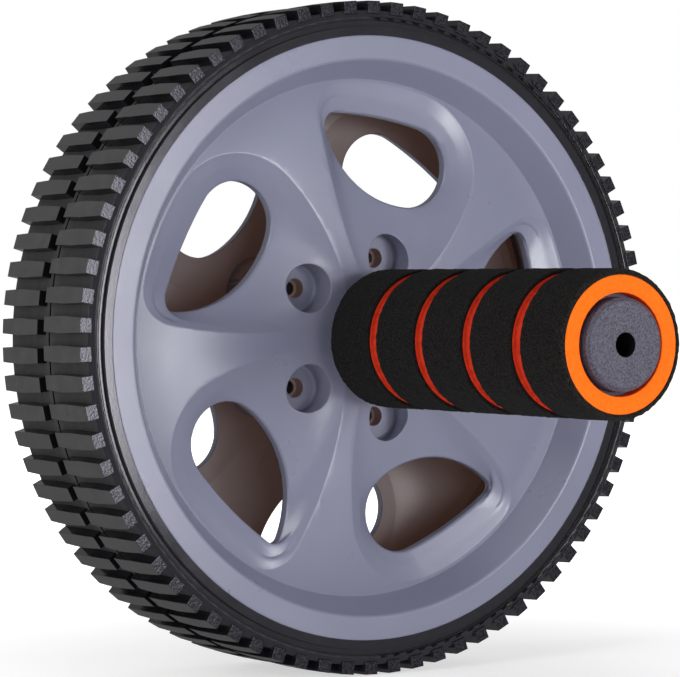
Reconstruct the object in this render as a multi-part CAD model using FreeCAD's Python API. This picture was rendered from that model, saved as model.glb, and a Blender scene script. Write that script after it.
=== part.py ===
import FreeCAD, Part
import math
import os

# An ab wheel roller. The origin is the middle of the wheel, on the axle's axis and on the plane where the two
# wheel halves meet. Y runs along the axle, Z is up, and the wheel rolls along X. The right side is -Y.
# Each side is modelled in its own frame: x forwards, y up, z outwards from the split plane along the axle.
# All lengths are in millimetres and all angles in degrees.

V = FreeCAD.Vector

# Tread
tread_radius = 95.0
tread_crown = 0.3
lug_height = 3.0
lug_count = 75
lug_middle_width = 4.75
lug_end_width = 4.05
lug_inner_end = 1.95
lug_length = 20.85
lug_root = 0.8
lug_phase = 177.35

# Tyre
tyre_wall = 3.5
tyre_seam = 0.4
tyre_shoulder = 0.8
sidewall_inset = 0.2
lip_height = 3.5
lip_thickness = 2.7
lip_land = 2.5
lip_groove_width = 1.7
lip_groove_depth = 1.2
bead_width = 1.0
bead_height = 0.5
tyre_fit = 0.02

# Rim of a wheel half
half_width = 23.1
wall = 2.5
ring_width = 6.7
ring_edge_round = 1.2
slope_run = 5.0
slope_drop = 8.5
slope_tail = 3.0
spoke_bite = 0.9

# Spokes and their scooped windows
spoke_rise = 3.8
spoke_crown = 1.3
spoke_count = 5
spoke_middle = 37.0
left_spoke_turn = 7.5
window_lip_depth = 10.0
window_post_gap = 5.85
window_rim_gap = 9.1
window_end_along = 18.0
window_end_drop = 3.3
window_corner_radius = 3.0
window_corner_along = -9.3
window_top_radius = 110.0
window_side_radius = 31.0
lip_round = 0.6
crease_round = 0.15
crease_spread = 0.6
crease_rim_gap = 1.0
crease_front_reach = 8.8
crease_front_turn = 72.0
crease_back_reach = 6.0
crease_back_turn = 96.0
crease_post_margin = 4.0
crease_front_side_radius = 80.0
crease_back_side_radius = 130.0
scoop_over = 1.0
scoop_waist_out = 0.5
scoop_waist_rise = 0.55
scoop_waist_hub_rise = 0.72
scoop_hub_turn = 257.0
scoop_hub_spread = 70.0
outline_step = 6.0

# Screw posts and screws
post_circle = 23.8
post_radius = 6.0
post_floor = 3.0
counterbore_radius = 6.85
counterbore_wall = 2.0
counterbore_height = 9.1
counterbore_round = 1.0
screw_hole_radius = 2.75
screw_radius = 1.9
screw_bite = 5.0
screw_head_radius = 4.2
screw_head_height = 2.6
screw_slot_width = 0.9
screw_slot_length = 4.4
screw_slot_depth = 1.3
pilot_fit = 0.05
pilot_spare = 0.5

# Hub, bushes and axle
hub_radius = 12.5
hub_height = 23.0
bush_wall = 2.0
bush_length = 15.0
bush_flange_radius = 11.0
bush_flange = 1.5
bush_fit = 0.02
axle_radius = 6.0
axle_wall = 1.5
axle_length = 190.0
axle_chamfer = 0.8
running_clearance = 0.05

# Handles
end_play = 0.4
washer_radius = 10.5
washer_thickness = 1.2
washer_fit = 0.1
collar_radius = 15.5
collar_thickness = 1.0
core_radius = 13.0
core_chamfer = 0.9
core_reach = 1.8
core_fit = 0.02
vent_radius = 3.05

# Foam grips
grip_length = 106.0
grip_radius = 19.25
grip_end_round = 1.3
sleeve_fit = 0.05
sleeve_radius = 18.3
sleeve_end_taper = 0.75
band_count = 5
band_edge_round = 0.35
first_groove = 21.2
groove_pitch = 21.9
groove_width = 4.3
groove_radius = 16.9

# Radii and heights that follow from these
floor_radius = tread_radius - lug_height
drum_radius = floor_radius - tyre_wall
rim_radius = drum_radius - lip_height
ring_inner_radius = rim_radius - ring_width
foot_radius = ring_inner_radius - slope_run
foot_height = half_width - slope_drop
spoke_top = foot_height + spoke_rise
window_height = half_width - window_lip_depth
window_bottom = post_circle + counterbore_radius + window_post_gap
window_top = foot_radius - window_rim_gap
window_end_radius = (window_top - window_end_drop - window_bottom) / 2
crease_front_radius = window_end_radius + crease_front_reach
crease_back_radius = window_corner_radius + crease_back_reach
hub_bore_radius = axle_radius + running_clearance + bush_wall
washer_height = hub_height + bush_flange + end_play
collar_height = washer_height + washer_thickness
grip_height = collar_height + collar_thickness
grip_end = grip_height + grip_length


def rounding(before, corner, after):
    """Where a rounded corner's arc starts, its middle and where it ends, in a (radius, height) profile."""
    point = V(corner[0], corner[1], 0)
    back = (V(before[0], before[1], 0) - point).normalize()
    ahead = (V(after[0], after[1], 0) - point).normalize()
    half_angle = back.getAngle(ahead) / 2
    length = corner[2] / math.tan(half_angle)
    inwards = (back + ahead).normalize()
    middle = point + inwards * (corner[2] / math.sin(half_angle) - corner[2])
    return point + back * length, middle, point + ahead * length


def turned(*corners, first=0.0, sweep=360.0):
    """Turn a closed profile about the axle. A corner is (radius, height), with a third number where it is rounded.

    A pair of points is an arc to a corner: the middle of the arc and the corner.
    """
    ends = [corner[1] if isinstance(corner[0], tuple) else corner for corner in corners]
    joints = []
    for index, end in enumerate(ends):
        if len(end) == 3:
            joints.append(rounding(ends[index - 1], end, ends[(index + 1) % len(ends)]))
        else:
            joints.append((V(end[0], end[1], 0),))
    edges = []
    for index, corner in enumerate(corners):
        here = joints[index - 1][-1]
        joint = joints[index]
        if isinstance(corner[0], tuple):
            edges.append(Part.Arc(here, V(corner[0][0], corner[0][1], 0), joint[0]).toShape())
        else:
            edges.append(Part.makeLine(here, joint[0]))
        if len(joint) == 3:
            edges.append(Part.Arc(*joint).toShape())
    profile = Part.Face(Part.Wire(edges))
    profile.rotate(V(0, 0, 0), V(1, 0, 0), 90)
    profile.rotate(V(0, 0, 0), V(0, 0, 1), first)
    return profile.revolve(V(0, 0, 0), V(0, 0, 1), sweep)


def disc(radius, bottom, top, centre=V(0, 0, 0)):
    return Part.makeCylinder(radius, top - bottom, centre + V(0, 0, bottom))


def spun(shape, count, start=0.0):
    """Copies of a shape, evenly spaced about the axle."""
    copies = []
    for index in range(count):
        copy = shape.copy()
        copy.rotate(V(0, 0, 0), V(0, 0, 1), start + index * 360.0 / count)
        copies.append(copy)
    return copies


# Tyre

def tread_lug():
    """One tread block: an elongated hexagon in plan, standing on the tyre's floor."""
    inner = lug_inner_end
    outer = lug_inner_end + lug_length
    middle = (inner + outer) / 2
    root = floor_radius - lug_root
    plan = [(-lug_end_width / 2, inner), (lug_end_width / 2, inner), (lug_middle_width / 2, middle),
            (lug_end_width / 2, outer), (-lug_end_width / 2, outer), (-lug_middle_width / 2, middle)]
    corners = [V(root, across, along) for across, along in plan]
    face = Part.Face(Part.makePolygon(corners + corners[:1]))
    return face.extrude(V(tread_radius - root + tread_crown, 0, 0))


def tread_crown_ring():
    """The crowned ring that every tread block's top lies on."""
    inner = lug_inner_end
    outer = lug_inner_end + lug_length
    middle = (inner + outer) / 2
    root = floor_radius - 2 * lug_root
    edge = tread_radius - tread_crown
    slope = tread_crown / (lug_length / 2)
    over = lug_inner_end / 2
    low = edge - slope * over
    return turned((root, inner - over), (low, inner - over), ((tread_radius, middle), (low, outer + over)),
                  (root, outer + over))


def tyre():
    """A rubber tyre: seat, side lip with its groove and bead, tread floor and one row of blocks."""
    seat = drum_radius + tyre_fit
    sidewall = half_width - sidewall_inset
    lip_inner = rim_radius + tyre_fit
    lip_back = half_width - lip_thickness + tyre_fit
    groove_in = rim_radius + lip_land
    groove_out = groove_in + lip_groove_width
    bead_out = groove_out + bead_width
    groove_floor = half_width - lip_groove_depth
    bead_middle = ((groove_out + bead_out) / 2, sidewall + bead_height)
    carcass = turned(
        (seat, tyre_seam), (floor_radius, tyre_seam), (floor_radius, sidewall - tyre_shoulder), (bead_out, sidewall),
        (bead_middle, (groove_out, sidewall)), (groove_out, groove_floor), (groove_in, groove_floor),
        (groove_in, half_width), (lip_inner, half_width), (lip_inner, lip_back), (seat, lip_back))
    lugs = Part.makeCompound(spun(tread_lug(), lug_count, lug_phase)).common(tread_crown_ring())
    return carcass.multiFuse(lugs.Solids)


# Wheel half

def spoke_circle():
    """Centre and radius of the arc, in a radial section, that the spokes' outer face follows."""
    chord = V(foot_radius - post_circle, -spoke_rise, 0)
    bulge = V(spoke_rise, foot_radius - post_circle, 0).normalize()
    middle = V(post_circle, spoke_top, 0) + chord / 2
    radius = (chord.Length / 2) ** 2 / (2 * spoke_crown) + spoke_crown / 2
    return middle - bulge * (radius - spoke_crown), radius


def spoke_height(distance):
    centre, radius = spoke_circle()
    return centre.y + math.sqrt(radius ** 2 - (distance - centre.x) ** 2)


def spoke_slab(inner, reach):
    """One spoke's share of a solid slab between the split plane and the spokes' outer face."""
    middle = (inner + reach) / 2
    crown = ((middle, spoke_height(middle)), (inner, spoke_height(inner)))
    return turned((inner, 0), (reach, 0), (reach, spoke_height(reach)), crown,
                  first=spoke_middle, sweep=360.0 / spoke_count)


def polar(radius, turn):
    return V(radius * math.cos(math.radians(turn)), radius * math.sin(math.radians(turn)), 0)


def facing_of(direction):
    return math.degrees(math.atan2(direction.y, direction.x)) % 360.0


def bridge(first, second, radius):
    """Centre of the arc, going counterclockwise, that runs on smoothly from one round corner to another."""
    span = second[0] - first[0]
    to_first = radius - first[1]
    to_second = radius - second[1]
    along = (span.Length ** 2 + to_first ** 2 - to_second ** 2) / (2 * span.Length)
    off = math.sqrt(to_first ** 2 - along ** 2)
    inwards = V(-span.y, span.x, 0) / span.Length
    return first[0] + span * (along / span.Length) + inwards * off


def outline(corners, radii):
    """A convex closed line of round corners (centre, radius), each joined to the next by an arc of its own radius.

    It is returned as arcs: the direction each one faces where it starts, its centre and its radius.
    """
    arcs = []
    for index, corner in enumerate(corners):
        following = corners[(index + 1) % len(corners)]
        centre = bridge(corner, following, radii[index])
        arcs.append((facing_of(corner[0] - centre), centre, radii[index]))
        arcs.append((facing_of(following[0] - centre), following[0], following[1]))
    return sorted(arcs, key=lambda arc: arc[0])


def arc_facing(arcs, facing):
    """The arc of an outline that faces this way."""
    started = [arc for arc in arcs if arc[0] <= facing % 360.0]
    return started[-1] if started else arcs[-1]


def point_facing(arcs, facing):
    """The point of an outline that faces this way."""
    start, centre, radius = arc_facing(arcs, facing)
    return centre + polar(radius, facing)


def window_edge():
    """A window's edge between post and rim: a wide round end, a long top and a tight corner behind."""
    end = V(window_end_along, window_bottom + window_end_radius, 0)
    corner = V(window_corner_along, window_top - window_corner_radius, 0)
    return outline([(end, window_end_radius), (corner, window_corner_radius)],
                   [window_top_radius, window_side_radius])


def crease_edge():
    """The crease where a scoop meets the spokes' face, round its window and the screw post by the hub."""
    top_radius = foot_radius - crease_rim_gap
    front = polar(top_radius - crease_front_radius, crease_front_turn)
    back = polar(top_radius - crease_back_radius, crease_back_turn)
    return outline([(post_place(), counterbore_radius + crease_post_margin), (front, crease_front_radius),
                    (back, crease_back_radius)], [crease_front_side_radius, top_radius, crease_back_side_radius])


def outline_facings():
    """Directions, once round, at which a scoop's window edge and crease are both closely followed."""
    window = window_edge()
    crease = crease_edge()
    starts = sorted(arc[0] for arc in window + crease)
    facings = []
    for first, last in zip(starts, starts[1:] + [starts[0] + 360.0]):
        middle = (first + last) / 2
        radius = max(arc_facing(window, middle)[2], arc_facing(crease, middle)[2])
        steps = math.ceil(radius * math.radians(last - first) / outline_step)
        facings += [first + (last - first) * step / steps for step in range(steps)]
    return facings


def hub_lobe(facing):
    """1 where a window's edge faces the hub, falling to 0 at its sides."""
    away = abs((facing - scoop_hub_turn + 180.0) % 360.0 - 180.0)
    return math.cos(math.radians(90.0 * min(away / scoop_hub_spread, 1.0))) ** 2


def closed_curve(points):
    curve = Part.BSplineCurve()
    curve.interpolate(points, PeriodicFlag=True)
    return Part.Wire(curve.toShape())


def scoop_line(out, rise, hub_rise, lift=0.0, beyond=0.0):
    """One closed line round a scoop, from the window's edge (out 0) to the crease on the spokes' face (out 1).

    The line lies this share of the way up from the edge to the crease: rise at the sides, hub_rise at the hub.
    """
    window = window_edge()
    crease = crease_edge()
    points = []
    for facing in outline_facings():
        edge = point_facing(window, facing)
        across = point_facing(crease, facing) - edge
        depth = spoke_height((edge + across).Length) - window_height
        hub = hub_lobe(facing)
        height = window_height + depth * (rise * (1 - hub) + hub_rise * hub) + lift
        points.append(edge + across * out + polar(beyond, facing) + V(0, 0, height))
    return closed_curve(points)


def scoop():
    """The bowl around a window: a rounded lip, steep sides and a long floor towards the hub."""
    top = spoke_top - window_height + scoop_over
    lines = [scoop_line(0, 0, 0, -3 * lip_round, -1.2 * lip_round),
             scoop_line(0, 0, 0, -1.2 * lip_round, -lip_round),
             scoop_line(0, 0, 0, -0.3 * lip_round, -0.3 * lip_round),
             scoop_line(scoop_waist_out, scoop_waist_rise, scoop_waist_hub_rise),
             scoop_line(1, 1, 1, -crease_round),
             scoop_line(1, 1, 1, crease_round, crease_spread),
             scoop_line(1, 0, 0, top, 2 * crease_spread)]
    return Part.makeLoft(lines, True, True)


def window():
    edge = window_edge()
    line = closed_curve([point_facing(edge, facing) - polar(lip_round, facing) for facing in outline_facings()])
    return Part.Face(line).extrude(V(0, 0, window_height))


def rim():
    """One spoke's share of the drum under the tyre, the flat ring and the slope down to the spokes."""
    ledge = half_width - lip_thickness
    steep = math.hypot(slope_run, slope_drop) / slope_drop
    lean = slope_run / slope_drop
    foot = foot_height - slope_tail
    tail = foot_radius - slope_tail * lean
    behind = ring_inner_radius + wall * steep
    return turned(
        (drum_radius, 0), (drum_radius, ledge), (rim_radius, ledge), (rim_radius, half_width),
        (ring_inner_radius, half_width, ring_edge_round), (tail, foot), (tail + wall * steep, foot),
        (behind - wall * lean, half_width - wall), (rim_radius - wall, half_width - wall),
        (rim_radius - wall, ledge - wall), (drum_radius - wall, ledge - wall), (drum_radius - wall, 0),
        first=spoke_middle, sweep=360.0 / spoke_count)


def post_place(spoke_turn=0.0):
    return polar(post_circle, 360.0 / spoke_count - spoke_turn)


def wheel_share(spoke_turn):
    """One spoke's share of a wheel half, with its window and its screw post."""
    place = post_place(spoke_turn)
    reach = foot_radius + spoke_bite
    bowl = scoop()
    cup = disc(counterbore_radius + counterbore_wall, counterbore_height - post_floor, half_width, place)
    post = disc(post_radius, -2 * wall, counterbore_height, place)
    hollow = spoke_slab(hub_radius - spoke_bite, reach + spoke_bite).cut(bowl)
    cavity = hollow.translated(V(0, 0, -wall)).cut([cup, post])
    face = spoke_slab((hub_bore_radius + hub_radius) / 2, reach)
    counterbore = turned((0, counterbore_height), (counterbore_radius, counterbore_height, counterbore_round),
                         (counterbore_radius, half_width), (0, half_width)).translated(place)
    hub = turned((hub_bore_radius, 0), (hub_radius, 0), (hub_radius, hub_height), (hub_bore_radius, hub_height),
                 first=spoke_middle, sweep=360.0 / spoke_count)
    return face.cut([bowl, cavity, window(), counterbore]).fuse([hub, rim()])


def wheel_blank(spoke_turn=0.0):
    """A whole wheel half before its screw holes: equal shares, joined. Its spokes are turned against its posts."""
    shares = spun(wheel_share(spoke_turn), spoke_count, spoke_turn)
    return shares[0].multiFuse(shares[1:]).removeSplitter()


# Fasteners, hub and axle

def clearance_hole():
    return disc(screw_hole_radius, -wall, half_width, post_place())


def pilot_hole():
    """The hole that a screw bites into, with the same wide mouth as the other half's hole."""
    neck = screw_bite + pilot_spare
    narrow = disc(screw_radius + pilot_fit, -wall, half_width, post_place())
    return narrow.fuse(disc(screw_hole_radius, neck, half_width, post_place()))


def screws():
    """Pan-head screws, all five, through one half's posts and into the other's."""
    shank = disc(screw_radius, -screw_bite, counterbore_height)
    head_top = counterbore_height + screw_head_height
    head = turned((0, counterbore_height), (screw_head_radius, counterbore_height),
                  (screw_head_radius, head_top, screw_head_height / 2), (0, head_top))
    screw = shank.fuse(head)
    for length, width in ((screw_slot_length, screw_slot_width), (screw_slot_width, screw_slot_length)):
        corner = V(-length / 2, -width / 2, head_top - screw_slot_depth)
        screw = screw.cut(Part.makeBox(length, width, screw_head_height, corner))
    return Part.makeCompound(spun(screw.translated(post_place()), spoke_count))


def hub_bush():
    """A flanged plain bush, pressed into the hub from outside."""
    inner = axle_radius + running_clearance
    outer = hub_bore_radius - bush_fit
    top = hub_height + bush_flange
    return turned((inner, hub_height - bush_length), (outer, hub_height - bush_length), (outer, hub_height),
                  (bush_flange_radius, hub_height), (bush_flange_radius, top), (inner, top))


def axle():
    """The steel tube that carries the wheel and both handles, from end to end."""
    bore = axle_radius - axle_wall
    end = axle_length / 2
    chamfered = axle_radius - axle_chamfer
    return turned((bore, -end), (chamfered, -end), (axle_radius, axle_chamfer - end),
                  (axle_radius, end - axle_chamfer), (chamfered, end), (bore, end))


# Handle

def thrust_washer():
    inner = axle_radius + washer_fit
    return turned((inner, washer_height), (washer_radius, washer_height), (washer_radius, collar_height),
                  (inner, collar_height))


def handle_core():
    """The moulded handle: a collar, a long barrel under the foam and the end cap with its vent hole."""
    socket = axle_radius + core_fit
    socket_end = axle_length / 2 + core_fit
    end = grip_end + core_reach
    return turned(
        (socket, collar_height), (collar_radius, collar_height), (collar_radius, grip_height),
        (core_radius, grip_height), (core_radius, end - core_chamfer), (core_radius - core_chamfer, end),
        (vent_radius, end), (vent_radius, socket_end), (socket, socket_end))


def groove_spans():
    """Start and end height of each groove along the grip."""
    spans = []
    for index in range(band_count - 1):
        middle = grip_height + first_groove + index * groove_pitch
        spans.append((middle - groove_width / 2, middle + groove_width / 2))
    return spans


def grip_sleeve():
    """The orange inner layer of foam, turned down in the grooves and tapered at both ends."""
    inner = core_radius + sleeve_fit
    tapered = sleeve_radius - sleeve_end_taper
    corner = (sleeve_radius - groove_radius) / 2
    profile = [(inner, grip_height), (tapered, grip_height), (sleeve_radius, grip_height + grip_end_round)]
    for start, end in groove_spans():
        profile += [(sleeve_radius, start), (groove_radius, start, corner), (groove_radius, end, corner),
                    (sleeve_radius, end)]
    profile += [(sleeve_radius, grip_end - grip_end_round), (tapered, grip_end), (inner, grip_end)]
    return turned(*profile)


def grip_bands():
    """The black outer layer of foam, left as separate bands between the grooves."""
    spans = groove_spans()
    starts = [grip_height] + [end for start, end in spans]
    ends = [start for start, end in spans] + [grip_end]
    seat = sleeve_radius + sleeve_fit
    bands = []
    for index, (start, end) in enumerate(zip(starts, ends)):
        profile = []
        if index == 0:
            profile += [(seat, start + grip_end_round), (seat - sleeve_end_taper, start),
                        (grip_radius, start, grip_end_round)]
        else:
            profile += [(seat, start), (grip_radius, start, band_edge_round)]
        if index == band_count - 1:
            profile += [(grip_radius, end, grip_end_round), (seat - sleeve_end_taper, end),
                        (seat, end - grip_end_round)]
        else:
            profile += [(grip_radius, end, band_edge_round), (seat, end)]
        bands.append(turned(*profile))
    return bands


def save(name, shape, side):
    """Turn a piece from its side's own frame to its place on the roller and write it."""
    placed = shape.copy()
    placed.rotate(V(0, 0, 0), V(1, 0, 0), 90 if side == "right" else -90)
    placed.exportStep("parts/" + name + ".step")


def main():
    os.makedirs("parts", exist_ok=True)
    left_blank = wheel_blank(left_spoke_turn)
    save("right_wheel_half", wheel_blank().cut(spun(pilot_hole(), spoke_count)), "right")
    save("left_wheel_half", left_blank.cut(spun(clearance_hole(), spoke_count)), "left")
    save("assembly_screws", screws(), "left")
    save("axle", axle(), "right")
    one_tyre = tyre()
    for side in ("right", "left"):
        save(side + "_tyre", one_tyre, side)
        save(side + "_hub_bush", hub_bush(), side)
        save(side + "_thrust_washer", thrust_washer(), side)
        save(side + "_handle_core", handle_core(), side)
        save(side + "_grip_sleeve", grip_sleeve(), side)
        for number, band in enumerate(grip_bands(), 1):
            save(side + "_grip_band_" + str(number), band, side)


if __name__ == "__main__":
    main()
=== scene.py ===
import math

import bmesh
import bpy
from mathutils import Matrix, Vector, noise


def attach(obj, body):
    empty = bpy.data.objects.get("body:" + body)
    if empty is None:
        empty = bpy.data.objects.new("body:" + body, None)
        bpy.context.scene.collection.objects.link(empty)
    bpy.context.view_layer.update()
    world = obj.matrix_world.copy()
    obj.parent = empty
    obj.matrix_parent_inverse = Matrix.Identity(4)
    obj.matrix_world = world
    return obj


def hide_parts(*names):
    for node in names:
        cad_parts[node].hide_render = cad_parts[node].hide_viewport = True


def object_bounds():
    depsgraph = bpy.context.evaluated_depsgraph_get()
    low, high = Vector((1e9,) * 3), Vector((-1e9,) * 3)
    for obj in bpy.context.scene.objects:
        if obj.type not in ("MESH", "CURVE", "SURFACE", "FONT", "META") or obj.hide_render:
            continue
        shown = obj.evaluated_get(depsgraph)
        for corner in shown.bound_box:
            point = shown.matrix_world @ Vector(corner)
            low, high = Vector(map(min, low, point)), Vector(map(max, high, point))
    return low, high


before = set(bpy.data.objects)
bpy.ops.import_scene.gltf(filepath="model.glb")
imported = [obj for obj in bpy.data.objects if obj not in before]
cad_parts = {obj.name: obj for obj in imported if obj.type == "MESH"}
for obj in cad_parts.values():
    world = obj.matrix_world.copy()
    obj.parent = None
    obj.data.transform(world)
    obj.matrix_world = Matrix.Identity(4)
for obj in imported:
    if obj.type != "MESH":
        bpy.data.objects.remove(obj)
cad_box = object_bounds()
sides = (("right", -1.0), ("left", 1.0))  # each side's name, and the way along the axle that leads outwards


# Wheel halves: two injection mouldings in lilac-grey plastic with a satin gloss, screwed together back to back. They
# are smooth outside, with soft creases round the windows. Inside they are rougher, and their deep and inward-facing
# faces get painted shade: a darker, browner colour and a faint brown glow for the brown of their shaded parts.
def add_piece(name, bm, body, node):
    """A smooth-shaded object from a built mesh, which rides on a body in place of a node."""
    mesh = bpy.data.meshes.new(name)
    for face in bm.faces:
        face.smooth = True
    bm.to_mesh(mesh)
    bm.free()
    piece = bpy.data.objects.new(name, mesh)
    bpy.context.scene.collection.objects.link(piece)
    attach(piece, body)
    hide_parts(node)
    return piece


def smooth_copy(node, name, body, sharp):
    """A merged copy of a moulded piece, with its edges kept crisp past an angle in degrees."""
    bm = bmesh.new()
    bm.from_mesh(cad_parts[node].data)
    bmesh.ops.remove_doubles(bm, verts=bm.verts, dist=1e-6)
    for face in bm.faces:
        face.material_index = 0
    for edge in bm.edges:
        edge.smooth = edge.calc_face_angle(math.pi) < math.radians(sharp)
    return add_piece(name, bm, body, node)


def new_material(name, colour, roughness, specular=0.5):
    """A named material and its shader, with a plain colour, roughness and specular level."""
    material = bpy.data.materials.new(name)
    material.use_nodes = True
    shader = material.node_tree.nodes["Principled BSDF"]
    shader.inputs["Base Color"].default_value = (*colour, 1.0)
    shader.inputs["Roughness"].default_value = roughness
    shader.inputs["Specular IOR Level"].default_value = specular
    return material, shader


def add_node(material, kind, **settings):
    """A node of this material: sockets are set by name with underscores for spaces, or linked to an output."""
    node = material.node_tree.nodes.new("ShaderNode" + kind)
    for name, value in settings.items():
        socket = node.inputs.get(name.replace("_", " "))
        if socket is None:
            setattr(node, name, value)
        elif isinstance(value, bpy.types.NodeSocket):
            material.node_tree.links.new(value, socket)
        else:
            socket.default_value = value
    return node


def grain(material, scale, detail=3.0, roughness=0.5):
    """Noise that sits still on the piece; scale is in cycles per metre."""
    place = add_node(material, "TexCoord").outputs["Object"]
    return add_node(material, "TexNoise", Vector=place, Scale=scale, Detail=detail,
                    Roughness=roughness).outputs["Fac"]


def remap(material, value, low, high, to_low=0.0, to_high=1.0):
    """A value's range from low to high, spread over another range."""
    return add_node(material, "MapRange", Value=value, From_Min=low, From_Max=high, To_Min=to_low,
                    To_Max=to_high).outputs["Result"]


def feed(material, output, shader, socket):
    """Link a node's output to a shader's socket by name."""
    material.node_tree.links.new(output, shader.inputs[socket])


first_colour, second_colour, mixed_colour = 6, 7, 2  # the Mix node's sockets for colours, which share their names


def tint(material, shader, share, first, second):
    """Give a shader the first colour where the share is 0 and the second where it is 1."""
    mix = add_node(material, "Mix", data_type="RGBA")
    material.node_tree.links.new(share, mix.inputs["Factor"])
    mix.inputs[first_colour].default_value = (*first, 1.0)
    mix.inputs[second_colour].default_value = (*second, 1.0)
    feed(material, mix.outputs[mixed_colour], shader, "Base Color")


def roughen(material, shader, height, depth, edge_round=0.0):
    """Raise a shader's surface by a height of 0 to 1 times a depth in metres, and soften its edges."""
    bump = add_node(material, "Bump", Height=height, Strength=1.0, Distance=depth)
    if edge_round:
        bevel = add_node(material, "Bevel", Radius=edge_round, samples=6)
        material.node_tree.links.new(bevel.outputs["Normal"], bump.inputs["Normal"])
    feed(material, bump.outputs["Normal"], shader, "Normal")


shell_plastic, shader = new_material("shell_plastic", (0.14, 0.144, 0.206), roughness=0.3, specular=0.8)
flow = remap(shell_plastic, grain(shell_plastic, 14.0, detail=2.0), 0.35, 0.65)
tint(shell_plastic, shader, flow, (0.134, 0.138, 0.197), (0.147, 0.151, 0.216))
feed(shell_plastic, remap(shell_plastic, grain(shell_plastic, 60.0), 0.3, 0.7, 0.27, 0.34), shader, "Roughness")
roughen(shell_plastic, shader, grain(shell_plastic, 1400.0, detail=1.0), depth=0.000012, edge_round=0.0006)

# Inside plastic: painted shade. Its darker, browner colour and faint brown glow stand for the shade inside the halves.
shell_inside_painted_shade, shader = new_material("shell_inside_painted_shade", (0.13, 0.116, 0.121), roughness=0.4)
mottle = remap(shell_inside_painted_shade, grain(shell_inside_painted_shade, 30.0), 0.35, 0.65)
tint(shell_inside_painted_shade, shader, mottle, (0.123, 0.11, 0.114), (0.137, 0.122, 0.128))
shader.inputs["Emission Color"].default_value = (1.0, 0.42, 0.26, 1.0)
shader.inputs["Emission Strength"].default_value = 0.024
roughen(shell_inside_painted_shade, shader, grain(shell_inside_painted_shade, 900.0), depth=0.00002)

inner_height, inner_tilt = 0.0088, -0.15
for side, outwards in sides:
    shell = smooth_copy(side + "_wheel_half", side + "_shell", "wheel", sharp=32.0)
    shell.data.materials.append(shell_plastic)
    shell.data.materials.append(shell_inside_painted_shade)
    # Faces deep in the half or facing inwards get the inside plastic and its painted shade.
    for face in shell.data.polygons:
        if face.normal.y * outwards < inner_tilt or face.center.y * outwards < inner_height:
            face.material_index = 1
    shell.modifiers.new("even_shading", "WEIGHTED_NORMAL").keep_sharp = True


# Tyres: two equal moulded rubber rings, stretched over the drum, each with one row of hexagonal tread blocks. The
# side lip and its bead are glossy, the block tops and the floor between them dull. The blocks' outer ends are torn and
# glint; their inner ends lie in deep shade, which is painted on them as near-black rubber.
def from_axle(place):
    """A point's distance from the axle."""
    return math.hypot(place.x, place.z)


bead_ring, bead_side, bead_round, bead_slack = 0.0897, 0.0229, 0.0005, 0.000025
block_side = 0.1


def turned_normals(mesh):
    """A normal for each face corner: round on the bead and on faces turned about the axle, flat on the blocks."""
    normals = []
    for face in mesh.polygons:
        out = Vector((face.center.x, 0.0, face.center.z)).normalized()
        flat = abs(face.normal.dot(out.cross((0.0, 1.0, 0.0)))) > block_side
        corners = [mesh.vertices[corner].co for corner in face.vertices]
        from_bead = [Vector((from_axle(place) - bead_ring, place.y - math.copysign(bead_side, place.y)))
                     for place in corners]
        on_bead = all(abs(offset.length - bead_round) < bead_slack for offset in from_bead)
        for place, offset in zip(corners, from_bead):
            across, along = offset if on_bead else (face.normal.dot(out), face.normal.y)
            turned = Vector((place.x, 0.0, place.z)).normalized() * across + Vector((0.0, along, 0.0))
            normals.append(face.normal.copy() if flat and not on_bead else turned.normalized())
    return normals


tyre_rubber, shader = new_material("tyre_rubber", (0.008, 0.008, 0.01), roughness=0.13, specular=0.8)
shader.inputs["Specular Tint"].default_value = (0.93, 0.9, 1.0, 1.0)
bloom = remap(tyre_rubber, grain(tyre_rubber, 350.0, detail=6.0, roughness=0.7), 0.35, 0.75)
tint(tyre_rubber, shader, bloom, (0.007, 0.007, 0.009), (0.011, 0.011, 0.013))
feed(tyre_rubber, remap(tyre_rubber, grain(tyre_rubber, 120.0), 0.3, 0.7, 0.11, 0.16), shader, "Roughness")
roughen(tyre_rubber, shader, grain(tyre_rubber, 2400.0, detail=2.0), depth=0.000006, edge_round=0.0002)

block_rubber, shader = new_material("block_rubber", (0.046, 0.047, 0.046), roughness=0.5)
scuff = remap(block_rubber, grain(block_rubber, 260.0, detail=5.0, roughness=0.7), 0.35, 0.7)
tint(block_rubber, shader, scuff, (0.038, 0.039, 0.038), (0.056, 0.057, 0.056))
feed(block_rubber, remap(block_rubber, scuff, 0.0, 1.0, 0.42, 0.55), shader, "Roughness")
roughen(block_rubber, shader, grain(block_rubber, 1500.0, detail=4.0), depth=0.00002, edge_round=0.0003)

floor_rubber, shader = new_material("floor_rubber", (0.045, 0.045, 0.047), roughness=0.6, specular=0.3)
wear = grain(floor_rubber, 300.0, detail=4.0)
feed(floor_rubber, remap(floor_rubber, wear, 0.3, 0.7, 0.5, 0.7), shader, "Roughness")
roughen(floor_rubber, shader, grain(floor_rubber, 700.0, detail=4.0), depth=0.00006)

# Near-black rubber for the blocks' inner ends: painted shade, not a darker rubber.
inner_end_painted_shade, shader = new_material("inner_end_painted_shade", (0.003, 0.003, 0.004), roughness=0.7, specular=0.1)
roughen(inner_end_painted_shade, shader, grain(inner_end_painted_shade, 700.0, detail=4.0), depth=0.00006)

torn_rubber, shader = new_material("torn_rubber", (0.01, 0.01, 0.012), roughness=0.19)
shader.inputs["Specular Tint"].default_value = (0.9, 0.86, 1.0, 1.0)
crumb = grain(torn_rubber, 1500.0, detail=2.0, roughness=0.6)
tint(torn_rubber, shader, remap(torn_rubber, crumb, 0.42, 0.58), (0.004, 0.004, 0.005), (0.016, 0.016, 0.02))
roughen(torn_rubber, shader, crumb, depth=0.00005, edge_round=0.0003)

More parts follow.
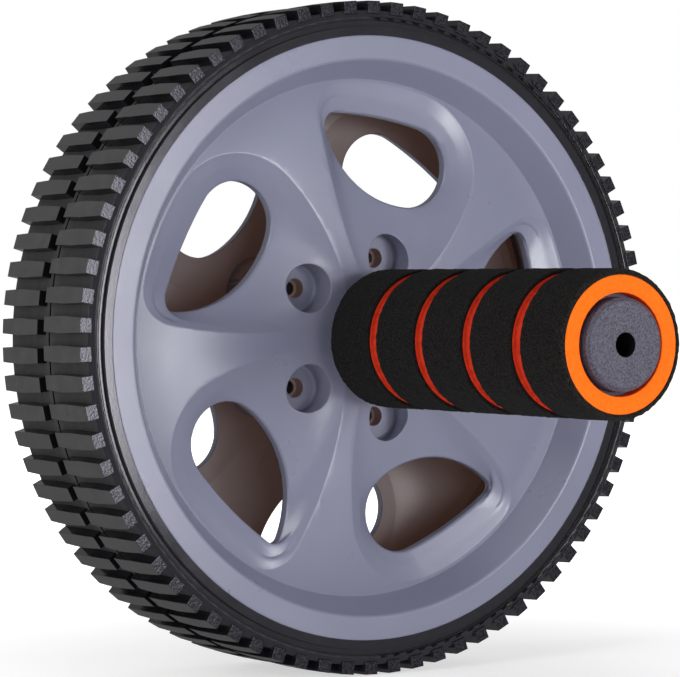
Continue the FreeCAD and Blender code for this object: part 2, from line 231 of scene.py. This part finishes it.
tread_floor, block_root, outer_end, bead_foot = 0.0924, 0.0905, 0.018, 0.089205
tread_tilt, square_end, groove_wall = 0.7, 0.97, 0.85
rubbers = (tyre_rubber, block_rubber, torn_rubber, floor_rubber, inner_end_painted_shade)
dull, torn, floor_between, shaded = 1, 2, 3, 4
for side in ("right", "left"):
    tyre = smooth_copy(side + "_tyre", side + "_tread", "wheel", sharp=40.0)
    for rubber in rubbers:
        tyre.data.materials.append(rubber)
    for face in tyre.data.polygons:
        out = Vector((face.center.x, 0.0, face.center.z))
        if face.normal.dot(out.normalized()) > tread_tilt:
            face.material_index = dull if out.length > tread_floor else floor_between
        elif abs(face.normal.y) > square_end and out.length > block_root:
            # Inner ends take the near-black rubber as painted shade.
            face.material_index = torn if abs(face.center.y) > outer_end else shaded
        elif abs(face.normal.y) < groove_wall and out.length < bead_foot:
            face.material_index = dull
    tyre.data.normals_split_custom_set(turned_normals(tyre.data))


# Screws, bushes, washers and axle: the plain steel and nylon hardware inside the hub, seen only down the screw
# holes and in the gap beside the hub.
hardware = (("black_zinc", (0.03, 0.03, 0.03), 0.45, 1.0, "screw_steel", "wheel", ("assembly_screws",)),
            ("nylon", (0.55, 0.53, 0.48), 0.5, 0.0, "bush_plastic", "wheel", ("right_hub_bush", "left_hub_bush")),
            ("washer_nylon", (0.6, 0.6, 0.57), 0.45, 0.0, "washer_plastic", "handle_bar",
             ("right_thrust_washer", "left_thrust_washer")),
            ("drawn_steel", (0.5, 0.5, 0.5), 0.3, 1.0, "axle_steel", "handle_bar", ("axle",)))
wear_range = 0.08
for finish, colour, roughness, metallic, slot, body, nodes in hardware:
    material, shader = new_material(finish, colour, roughness)
    shader.inputs["Metallic"].default_value = metallic
    wear = remap(material, grain(material, 250.0), 0.3, 0.7, roughness - wear_range, roughness + wear_range)
    feed(material, wear, shader, "Roughness")
    roughen(material, shader, grain(material, 1200.0), depth=0.00001, edge_round=0.0002)
    for node in nodes:
        piece = smooth_copy(node, node + "_finished", body, sharp=30.0)
        piece.data.materials.append(material)


# Handle cores: black-grey moulded plastic barrels, pushed on the axle. Only the collar beside the hub and the
# flat end cap with its vent hole show; the cap has a coarse spark-eroded texture. The vent hole's wall is painted
# near-black: painted shade for the deep hole.
def spin_profile(profile, steps):
    """A mesh turned about the axle from (radius, place along the axle) corners."""
    bm = bmesh.new()
    corners = [bm.verts.new((radius, along, 0.0)) for radius, along in profile]
    edges = [bm.edges.new((corners[index - 1], corner)) for index, corner in enumerate(corners)]
    bmesh.ops.spin(bm, geom=corners + edges, cent=(0, 0, 0), axis=(0, 1, 0), angle=math.tau, steps=steps,
                   use_merge=True)
    bmesh.ops.remove_doubles(bm, verts=bm.verts, dist=1e-7)
    bmesh.ops.recalc_face_normals(bm, faces=bm.faces)
    return bm


def round_edges(bm, edges, offset, segments):
    """Round some of a mesh's edges."""
    bmesh.ops.bevel(bm, geom=edges, offset=offset, offset_type="OFFSET", affect="EDGES", segments=segments,
                    profile=0.5, material=-1, clamp_overlap=True)


ring_crease, same_place = math.radians(20), 1e-6


def turned_piece(name, profile, bevel, node):
    """A piece of the handle bar, turned from a profile, with its edges rounded."""
    bm = spin_profile(profile, steps=128)
    rings = [edge for edge in bm.edges if edge.calc_face_angle(0.0) > ring_crease
             and abs(edge.verts[0].co.y - edge.verts[1].co.y) < same_place]
    round_edges(bm, rings, bevel, segments=3)
    return add_piece(name, bm, "handle_bar", node)


cap_plastic, shader = new_material("cap_plastic", (0.032, 0.03, 0.044), roughness=0.42, specular=0.35)
pits = grain(cap_plastic, 2300.0, detail=2.0, roughness=0.6)
tint(cap_plastic, shader, remap(cap_plastic, pits, 0.35, 0.68), (0.022, 0.021, 0.032), (0.078, 0.074, 0.104))
roughen(cap_plastic, shader, pits, depth=0.00015)

# Near-black plastic for the vent hole's wall: painted shade down the hole.
vent_bore_painted_shade, shader = new_material("vent_bore_painted_shade", (0.004, 0.004, 0.005), roughness=0.7, specular=0.1)
roughen(vent_bore_painted_shade, shader, grain(vent_bore_painted_shade, 1200.0), depth=0.00003)

core_radius, cap_radius, cap_chamfer, core_edge = 0.013, 0.0119, 0.0009, 0.0002
collar_radius, collar_start, collar_end, cap_foot, cap_end = 0.0155, 0.0261, 0.0271, 0.13, 0.1349
socket_radius, socket_end, vent_radius, vent_wall = 0.00602, 0.09502, 0.00305, 0.00315
for side, outwards in sides:
    profile = [(socket_radius, collar_start), (collar_radius, collar_start), (collar_radius, collar_end),
               (core_radius, collar_end), (core_radius, cap_foot), (cap_radius, cap_foot),
               (cap_radius, cap_end - cap_chamfer), (cap_radius - cap_chamfer, cap_end),
               (vent_radius, cap_end), (vent_radius, socket_end), (socket_radius, socket_end)]
    profile = [(radius, along * outwards) for radius, along in profile]
    core = turned_piece(side + "_core", profile, core_edge, side + "_handle_core")
    core.data.materials.append(cap_plastic)
    core.data.materials.append(vent_bore_painted_shade)
    for face in core.data.polygons:
        if from_axle(face.center) < vent_wall:
            face.material_index = 1
    core.modifiers.new("even_shading", "WEIGHTED_NORMAL")


# Grip sleeves: the inner layer of orange closed-cell foam, pushed over the core. It shows as a bright ring at the
# end of the handle and, with a darker, redder colour, in the grooves cut deeper into it between the black bands.
ring_foam, shader = new_material("ring_foam", (0.65, 0.104, 0.005), roughness=0.8, specular=0.1)
cells = remap(ring_foam, grain(ring_foam, 900.0, detail=4.0), 0.35, 0.65)
tint(ring_foam, shader, cells, (0.62, 0.096, 0.004), (0.68, 0.112, 0.006))
roughen(ring_foam, shader, grain(ring_foam, 2200.0), depth=0.00006)

groove_foam, shader = new_material("groove_foam", (0.52, 0.03, 0.009), roughness=0.75, specular=0.15)
cells = remap(groove_foam, grain(groove_foam, 600.0, detail=4.0), 0.35, 0.65)
tint(groove_foam, shader, cells, (0.45, 0.024, 0.007), (0.6, 0.038, 0.011))
roughen(groove_foam, shader, grain(groove_foam, 1600.0), depth=0.0001)

grip_start, grip_end = 0.0271, 0.1331
sleeve_inner, sleeve_radius, groove_radius, sleeve_edge = 0.01305, 0.0183, 0.0169, 0.0004
end_round, end_taper, end_facing = 0.0013, 0.00075, 0.6
first_groove, groove_pitch, groove_width, groove_count = 0.0212, 0.0219, 0.0043, 4
grooves = [(grip_start + first_groove + index * groove_pitch - groove_width / 2,
            grip_start + first_groove + index * groove_pitch + groove_width / 2) for index in range(groove_count)]
for side, outwards in sides:
    profile = [(sleeve_inner, grip_start), (sleeve_radius - end_taper, grip_start),
               (sleeve_radius, grip_start + end_round)]
    for start, end in grooves:
        profile += [(sleeve_radius, start), (groove_radius, start), (groove_radius, end), (sleeve_radius, end)]
    profile += [(sleeve_radius, grip_end - end_round), (sleeve_radius - end_taper, grip_end), (sleeve_inner, grip_end)]
    profile = [(radius, along * outwards) for radius, along in profile]
    sleeve = turned_piece(side + "_sleeve", profile, sleeve_edge, side + "_grip_sleeve")
    sleeve.data.materials.append(groove_foam)
    sleeve.data.materials.append(ring_foam)
    for face in sleeve.data.polygons:
        between_ends = grip_start + end_round < face.center.y * outwards < grip_end - end_round
        if abs(face.normal.y) > end_facing and not between_ends:
            face.material_index = 1


# Grip bands: the outer layer of black closed-cell foam, ground to a fine felt-like skin and cut into bands. The
# edges are rounded and the skin is slightly uneven, so its outline looks soft.
band_foam, shader = new_material("band_foam", (0.006, 0.005, 0.0055), roughness=0.95, specular=0.06)
nap = remap(band_foam, grain(band_foam, 2300.0, detail=4.0, roughness=0.65), 0.4, 0.66)
tint(band_foam, shader, nap, (0.002, 0.0018, 0.0017), (0.021, 0.019, 0.018))
shader.inputs["Sheen Weight"].default_value = 0.02
shader.inputs["Sheen Roughness"].default_value = 0.5
roughen(band_foam, shader, grain(band_foam, 2000.0, detail=5.0, roughness=0.7), depth=0.0004)

grip_radius, band_inner, band_edge = 0.01925, 0.01835, 0.00035
nap_height, nap_pitch, swell_height, swell_pitch = 0.0002, 900.0, 0.00012, 160.0
wall_length, wall_depth, skin_depth, on_wall = 0.008, 0.0001, 0.0002, 1e-5
starts = [grip_start] + [end for start, end in grooves]
ends = [start for start, end in grooves] + [grip_end]
for side, outwards in sides:
    for number, (start, end) in enumerate(zip(starts, ends), 1):
        low = end_round if number == 1 else band_edge
        high = end_round if number == len(starts) else band_edge
        inner_low = band_inner - (end_taper if number == 1 else 0.0)
        inner_high = band_inner - (end_taper if number == len(starts) else 0.0)
        profile = [(inner_low, start), (grip_radius, start), (grip_radius, end), (inner_high, end)]
        bm = spin_profile([(radius, along * outwards) for radius, along in profile], steps=200)
        for along, offset in ((start, low), (end, high)):
            rings = [edge for edge in bm.edges if all(abs(vert.co.y * outwards - along) < same_place
                     and abs(from_axle(vert.co) - grip_radius) < on_wall for vert in edge.verts)]
            round_edges(bm, rings, offset, segments=4)
        long_edges = [edge for edge in bm.edges if edge.calc_length() > wall_length
                      and all(from_axle(vert.co) > grip_radius - wall_depth for vert in edge.verts)]
        bmesh.ops.subdivide_edges(bm, edges=long_edges, cuts=22, use_grid_fill=True)
        bm.normal_update()
        for vert in bm.verts:
            if from_axle(vert.co) > band_inner + skin_depth:
                nap_here = noise.noise(vert.co * nap_pitch) * nap_height
                swell_here = noise.noise(vert.co * swell_pitch) * swell_height
                vert.co += vert.normal * (nap_here + swell_here)
        band = add_piece(side + "_band_" + str(number), bm, "handle_bar",
                         side + "_grip_band_" + str(number))
        band.data.materials.append(band_foam)


# Studio: a pale floor under the wheel in a white tent. The flat side of the wheel mirrors a soft box that stands to the
# right of the camera, on its left half only. Two more boxes stand on the left and hang above. The floor and the boxes
# in front and behind aren't mirrored: they only fill.
# The floor glows: less near the wheel, fully from shade_end out. This is painted light, which paints a soft shade round
# the wheel and keeps the far floor evenly white.
shade_start, shade_end, floor_dim, floor_bright = 0.12, 0.32, 0.56, 1.0
floor_mesh = bpy.data.meshes.new("floor")
bm = bmesh.new()
bmesh.ops.create_grid(bm, x_segments=1, y_segments=1, size=12.0)
bmesh.ops.translate(bm, verts=bm.verts, vec=(0, 0, cad_box[0].z))
bm.to_mesh(floor_mesh)
bm.free()
floor = bpy.data.objects.new("floor", floor_mesh)
bpy.context.scene.collection.objects.link(floor)
floor_paint, shader = new_material("floor_paint", (0.55, 0.55, 0.55), roughness=0.9, specular=0.0)
shader.inputs["Emission Color"].default_value = (1.0, 1.0, 1.0, 1.0)
place = add_node(floor_paint, "TexCoord").outputs["Object"]
distance = add_node(floor_paint, "VectorMath", operation="LENGTH", Vector=place).outputs["Value"]
shade = remap(floor_paint, distance, shade_start, shade_end, floor_dim, floor_bright)
feed(floor_paint, shade, shader, "Emission Strength")
floor_mesh.materials.append(floor_paint)
floor.visible_glossy = False

tent_mesh = bpy.data.meshes.new("tent")
bm = bmesh.new()
bmesh.ops.create_icosphere(bm, subdivisions=4, radius=40.0)
bmesh.ops.reverse_faces(bm, faces=bm.faces)
bm.to_mesh(tent_mesh)
bm.free()
tent = bpy.data.objects.new("tent", tent_mesh)
bpy.context.scene.collection.objects.link(tent)
tent_cloth, shader = new_material("tent_cloth", (0.0, 0.0, 0.0), roughness=1.0, specular=0.0)
shader.inputs["Emission Color"].default_value = (1.0, 1.0, 1.0, 1.0)
shader.inputs["Emission Strength"].default_value = 1.0
tent_mesh.materials.append(tent_cloth)
tent.visible_diffuse = tent.visible_glossy = tent.visible_transmission = tent.visible_shadow = False

surroundings = bpy.data.worlds.new("surroundings")
surroundings.use_nodes = True
surroundings.node_tree.nodes["Background"].inputs["Color"].default_value = (1.0, 1.0, 1.0, 1.0)
surroundings.node_tree.nodes["Background"].inputs["Strength"].default_value = 0.25
bpy.context.scene.world = surroundings
bpy.context.scene.view_settings.view_transform = "Standard"

azimuth, elevation = math.radians(-32.76), math.radians(1.02)
back = Vector((math.sin(azimuth) * math.cos(elevation), -math.cos(azimuth) * math.cos(elevation), math.sin(elevation)))
across = Vector((math.cos(azimuth), math.sin(azimuth), 0.0))
upwards = back.cross(across)
near_rim = Vector((0.0, -0.0231, 0.0))
off_across, off_upwards, off_back = -0.011, -0.0001, 0.853
lens = bpy.data.cameras.new("camera")
lens.sensor_width, lens.lens, lens.clip_start = 36.0, 160.56, 0.01
camera = bpy.data.objects.new("camera", lens)
camera.location = near_rim + across * off_across + upwards * off_upwards + back * off_back
camera.rotation_mode = "QUATERNION"
camera.rotation_quaternion = back.to_track_quat("Z", "Y")
bpy.context.scene.collection.objects.link(camera)
bpy.context.scene.camera = camera


def soft_box(name, place, width, height, brightness):
    """A soft box at a place, turned to face the middle of the wheel; its brightness is that of its cloth."""
    lamp = bpy.data.lights.new(name, "AREA")
    lamp.shape, lamp.size, lamp.size_y = "RECTANGLE", width, height
    lamp.energy = brightness * math.pi * width * height
    light = bpy.data.objects.new(name, lamp)
    light.location = place
    light.rotation_mode = "QUATERNION"
    light.rotation_quaternion = Vector(place).to_track_quat("Z", "Y")
    bpy.context.scene.collection.objects.link(light)
    return light


soft_box("strip_box", (0.19, -0.73, 0.02), width=0.2, height=0.26, brightness=11.0)
soft_box("side_box", (-0.95, -0.45, 0.35), width=0.15, height=0.7, brightness=11.0)
soft_box("top_box", (-0.45, -0.05, 0.95), width=0.8, height=0.8, brightness=1.2)
front_box = soft_box("front_box", (0.0, -1.2, -0.05), width=1.0, height=0.5, brightness=9.0)
back_box = soft_box("back_box", (0.2, 1.2, 0.25), width=1.0, height=0.6, brightness=5.0)
front_box.visible_glossy = back_box.visible_glossy = False
